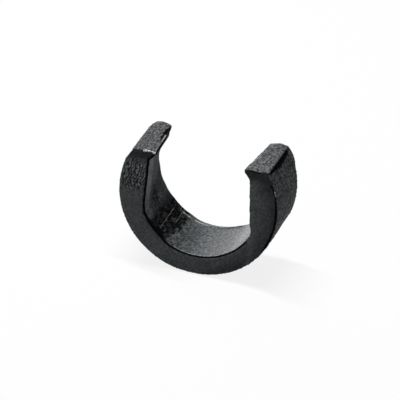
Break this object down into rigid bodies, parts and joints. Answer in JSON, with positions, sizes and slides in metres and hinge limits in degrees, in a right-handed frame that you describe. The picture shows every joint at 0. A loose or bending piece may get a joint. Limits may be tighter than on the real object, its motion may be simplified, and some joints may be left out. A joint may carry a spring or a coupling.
{
  "type": "c-clip",
  "caption": "Moulded C-shaped clip that snaps sideways over a tube and grips it between flats, with lipped tips at its mouth.",
  "frame": {"origin": "centre of the tube seat: on its axis, halfway along it", "axes": "+Y along the axis of the tube seat, from the gripping end, where the flats are, to the plain end; +Z out of the mouth; +X across the mouth"},
  "size_m": [0.03, 0.0124, 0.0232],
  "materials": {
    "black_plastic": "black moulded plastic, matt and finely grained"
  },
  "bodies": {
    "root": {"c_clip": "black_plastic"}
  },
  "joints": []
}
